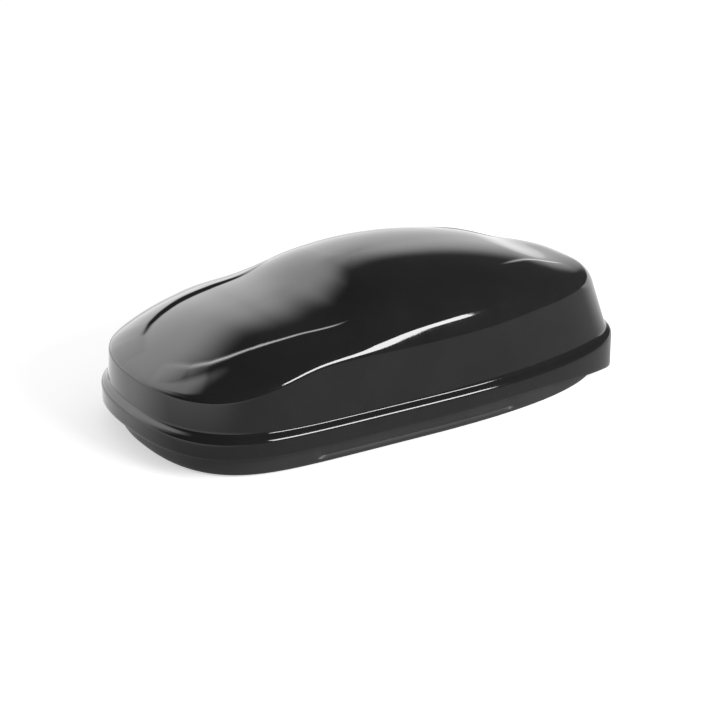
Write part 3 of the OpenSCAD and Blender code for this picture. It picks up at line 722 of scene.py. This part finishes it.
# %% Ribbed mat
def rib_group():
    g = Geo("mat_ribs", {"Ribs": ("NodeSocketInt", 42), "Pitch": ("NodeSocketFloat", 0.0205),
                         "Radius": ("NodeSocketFloat", 0.0016), "Span": ("NodeSocketFloat", 0.255),
                         "Start": ("NodeSocketVector", (-0.41, 0, 0.0064)),
                         "Material": ("NodeSocketMaterial", None)})
    step = g.node("ShaderNodeCombineXYZ", None, {0: g.ins["Pitch"]})
    line = g.node("GeometryNodeMeshLine", None,
                  {"Count": g.ins["Ribs"], "Start Location": g.ins["Start"], "Offset": step})
    bar = g.node("GeometryNodeMeshCylinder", None,
                 {"Vertices": 12, "Radius": g.ins["Radius"], "Depth": g.ins["Span"]})
    bar = g.node("GeometryNodeTransform", None,
                 {"Geometry": bar, "Rotation": (math.pi / 2, 0, 0), "Scale": (1.6, 1, 1)})
    rows = g.node("GeometryNodeInstanceOnPoints", None, {"Points": line, "Instance": bar})
    return g.close(g.node("GeometryNodeJoinGeometry", None, {0: [g.ins["Geometry"], rows]}))


def rounded_sheet(name, lo, hi, corner, edge, n=8):
    """A flat slab with round corners in plan and a small round-over on its top and bottom edges."""
    def loop(inset, z):
        r = corner - inset
        pts = []
        for k, (sx, sy) in enumerate(((1, 1), (-1, 1), (-1, -1), (1, -1))):
            cx = hi[0] - corner if sx > 0 else lo[0] + corner
            cy = hi[1] - corner if sy > 0 else lo[1] + corner
            for i in range(n + 1):
                t = math.pi / 2 * (k + i / n)
                pts.append((cx + r * math.cos(t), cy + r * math.sin(t), z))
        return pts
    stack = [loop(edge, lo[2]), loop(0, lo[2] + edge), loop(0, hi[2] - edge),
             loop(edge * 0.3, hi[2] - edge * 0.3), loop(edge, hi[2])]
    count = len(stack[0])
    verts = [p for ring in stack for p in ring]
    faces = [(a * count + i, a * count + (i + 1) % count,
              (a + 1) * count + (i + 1) % count, (a + 1) * count + i)
             for a in range(len(stack) - 1) for i in range(count)]
    faces += [tuple(range(count))[::-1], tuple(range((len(stack) - 1) * count, len(stack) * count))]
    mesh = bpy.data.meshes.new(name)
    mesh.from_pydata(verts, [], faces)
    return add_object(name, mesh)


lo, hi = islands("floor_mat")[0]
mat = rounded_sheet("ribbed_mat", lo, (hi[0], hi[1], hi[2] - 0.0006), 0.022, 0.0007)
grow(mat, rib_group(), Start=(float(lo[0]) + 0.02, 0.0, float(hi[2]) - 0.0008), Material=FINISH["seal_rubber"])
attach(mat, "base")
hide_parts("floor_mat")
print("mat faces", len(mat.data.polygons))

# %% [markdown]
# A star knob is a body of revolution whose radius swells six times a turn. Each height has its own radius
# and its own share of the swell, which gives the rounded lobes, the flat foot and the dished top.

# %% Star knobs
KNOB_PROFILE = [(0.0034, 0.0, 0), (0.0090, 0.0, 0), (0.0094, 0.0004, 0), (0.0094, 0.0034, 0),
                (0.0110, 0.0040, 0.3), (0.0150, 0.0043, 0.8), (0.0166, 0.0056, 1), (0.0170, 0.0080, 1),
                (0.0170, 0.0120, 1), (0.0166, 0.0146, 1), (0.0152, 0.0158, 0.8), (0.0120, 0.0162, 0.3),
                (0.0098, 0.0166, 0), (0.0094, 0.0176, 0), (0.0092, 0.0194, 0), (0.0086, 0.0200, 0),
                (0.0058, 0.0200, 0), (0.0052, 0.0194, 0), (0.0036, 0.0194, 0), (0.0034, 0.0190, 0)]


LOBES, LOBE_SWELL = 6, 0.0026


def knob(name, x, y, z, turns=72):
    verts, faces = [], []
    for radius, height, share in KNOB_PROFILE:
        for k in range(turns):
            t = 2 * math.pi * k / turns
            r = radius + share * LOBE_SWELL * math.cos(LOBES * t)
            verts.append((x + r * math.cos(t), y + r * math.sin(t), z + height))
    rows = len(KNOB_PROFILE)
    for a in range(rows):
        b = (a + 1) % rows
        faces += [(a * turns + k, a * turns + (k + 1) % turns, b * turns + (k + 1) % turns, b * turns + k)
                  for k in range(turns)]
    mesh = bpy.data.meshes.new(name)
    mesh.from_pydata(verts, [], faces)
    mesh.materials.append(FINISH["black_nylon"])
    mesh.polygons.foreach_set("use_smooth", [True] * len(faces))
    mesh.set_sharp_from_angle(angle=math.radians(50))
    return add_object(name, mesh)


for node in [p["node"] for p in frame["record"]["subparts"] if p["node"].startswith("knob_")]:
    lo, hi = islands(node)[0]
    star = knob("star_" + node, (lo[0] + hi[0]) / 2, (lo[1] + hi[1]) / 2, lo[2])
    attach(star, node)
    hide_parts(node)
print("knobs done")

# %% [markdown]
# The seal is a hollow rubber bulb on the tray's rim. It is swept round the same outline as the shells, with
# a lip that leans outward, and it stops short where the goose-neck hinges cross it.

# %% Rim seal
SEAL = [(0.0160, 0.0002), (0.0222, 0.0002), (0.0224, 0.0016), (0.0222, 0.0040), (0.0212, 0.0058),
        (0.0196, 0.0068), (0.0180, 0.0066), (0.0168, 0.0054), (0.0162, 0.0036), (0.0158, 0.0020)]
RIM_Z = 0.104
loops = [flat_ring(inset, RIM_Z + up) for inset, up in SEAL]
verts = [tuple(p) for ring in loops for p in ring]
faces = []
for a in range(len(loops)):
    b = (a + 1) % len(loops)
    faces += [(a * COLS + j, b * COLS + j, b * COLS + (j + 1) % COLS, a * COLS + (j + 1) % COLS)
              for j in range(COLS)]
mesh = bpy.data.meshes.new("rim_bulb")
mesh.from_pydata(verts, [], faces)
mesh.materials.append(FINISH["seal_rubber"])
seal = add_object("rim_bulb", mesh)
HINGE_X = (0.33, -0.11)
cut_boxes(seal, [((x - 0.02, HALF_W - 0.06, 0.099), (x + 0.02, HALF_W, 0.119)) for x in HINGE_X], 50)
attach(seal, "base")
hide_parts("rim_seal")
print("seal faces", len(seal.data.polygons))

# %% [markdown]
# ## Camera, light and floor
# A long lens a few metres away gives the flat perspective of a catalogue picture. The box is lit for its
# reflections: a tall pale wall of light behind it fills the front of the lid, and a dark ceiling leaves the
# near side of the dome black.

# %% Camera
LENS_MM, SENSOR_MM = 98.57, 36
CAMERA_AT = (2.5659, 4.0310, 1.8350 + BAND_Z)
LOOK = Vector((-0.49654, -0.78938, -0.36101))
cam_data = bpy.data.cameras.new("camera")
cam_data.lens, cam_data.sensor_width = LENS_MM, SENSOR_MM
cam = bpy.data.objects.new("camera", cam_data)
bpy.context.scene.collection.objects.link(cam)
cam.location = CAMERA_AT
cam.rotation_euler = LOOK.to_track_quat("-Z", "Y").to_euler()
bpy.context.scene.camera = cam
bpy.context.scene.view_settings.view_transform = "Standard"
print("camera at", [round(v, 2) for v in cam.location])

# %% [markdown]
# The floor and the world each answer three kinds of ray. The camera sees white, matt surfaces are lit by a
# level sky, and gloss surfaces see softboxes. One lamp adds the thin highlight along the shoulder.

# %% Floor, world and lamps
FLOOR_GREY, FLOOR_GLOW = 0.80, 0.50
FLOOR_SHINE, FLOOR_SHINE_MORE = 0.42, 0.85
SKY_LEVEL = 0.62
GLOSS_DARK, GLOSS_LIGHT = 0.09, 2.25


def stage_plane(name, size, z, material):
    bm = bmesh.new()
    bmesh.ops.create_grid(bm, x_segments=1, y_segments=1, size=size)
    mesh = bpy.data.meshes.new(name)
    bm.to_mesh(mesh)
    bm.free()
    obj = bpy.data.objects.new(name, mesh)
    obj.location.z = z
    mesh.materials.append(material)
    bpy.context.scene.collection.objects.link(obj)
    return obj


def floor_finish():
    """White for the camera, with the box's own shadow; in gloss, pale behind the box and dark before it."""
    m = Mat("studio_floor")
    rays = m.node("ShaderNodeLightPath").socket.node
    is_camera, is_glossy = (Sock(m, rays.outputs[k]) for k in ("Is Camera Ray", "Is Glossy Ray"))
    place = m.node("ShaderNodeSeparateXYZ", None, {"Vector": m.coords()}).socket.node
    behind = (Sock(m, place.outputs["Y"]) * -1).step(-0.3, 0.5)
    ahead = Sock(m, place.outputs["X"]).step(0.7, 1.5)
    matt = m.node("ShaderNodeBsdfDiffuse", None, {"Color": (FLOOR_GREY, FLOOR_GREY, FLOOR_GREY, 1)})
    glow = m.node("ShaderNodeEmission", None, {"Color": (1, 1, 1, 1), "Strength": FLOOR_GLOW})
    gleam = FLOOR_SHINE + FLOOR_SHINE_MORE * behind.op("MAXIMUM", ahead)
    shine = m.node("ShaderNodeEmission", None, {"Color": (1, 1, 1, 1), "Strength": gleam})
    white = m.node("ShaderNodeAddShader", None, {0: matt, 1: glow})
    lit = m.node("ShaderNodeMixShader", None, {0: is_glossy, 1: matt, 2: shine})
    shown = m.node("ShaderNodeMixShader", None, {0: is_camera, 1: lit, 2: white})
    m.tree.links.new(shown.socket, m.out.inputs["Surface"])
    return m.mat


stage_plane("studio_floor", 30, -0.001, floor_finish())


def studio_world():
    """White for the camera, a level sky for matt surfaces, and softboxes for gloss."""
    w = Mat("studio", world=True)
    axes = w.node("ShaderNodeSeparateXYZ", None, {"Vector": w.node("ShaderNodeTexCoord", output="Generated")})
    x, y, z = (Sock(w, axes.socket.node.outputs[k]) for k in range(3))
    azimuth = y.op("ARCTAN2", x) * (180 / math.pi)
    height = z.op("ARCSINE") * (180 / math.pi)
    eaves = height + 0.55 * (-92 - azimuth).op("MAXIMUM", 0)
    low_wall = azimuth.step(-156, -100) * (1 - azimuth.step(-62, -20)) * (1 - eaves.step(34, 50))
    tall_box = azimuth.step(-84, -76) * (1 - azimuth.step(-62, -46)) * (1 - height.step(48, 62))
    gloss = GLOSS_DARK + GLOSS_LIGHT * low_wall.op("MAXIMUM", tall_box)
    path = w.node("ShaderNodeLightPath").socket.node
    is_glossy = Sock(w, path.outputs["Is Glossy Ray"])
    is_camera = Sock(w, path.outputs["Is Camera Ray"])
    level = is_glossy * gloss + (1 - is_glossy) * SKY_LEVEL
    level = is_camera + (1 - is_camera) * level
    sky = w.node("ShaderNodeBackground", None, {"Color": (1, 1, 1, 1), "Strength": level})
    w.tree.links.new(sky.socket, w.out.inputs["Surface"])
    return w.mat


bpy.context.scene.world = studio_world()


def lamp(name, place, aim, size, power):
    data = bpy.data.lights.new(name, "AREA")
    data.shape, data.size, data.size_y, data.energy = "RECTANGLE", size[0], size[1], power
    obj = bpy.data.objects.new(name, data)
    bpy.context.scene.collection.objects.link(obj)
    obj.location = place
    obj.rotation_euler = (Vector(aim) - Vector(place)).to_track_quat("-Z", "Y").to_euler()
    return obj


lamp("edge_softbox", (-1.3, 3.5, 1.85), (0.0, 0.2, 0.25), (3.0, 1.1), 210)
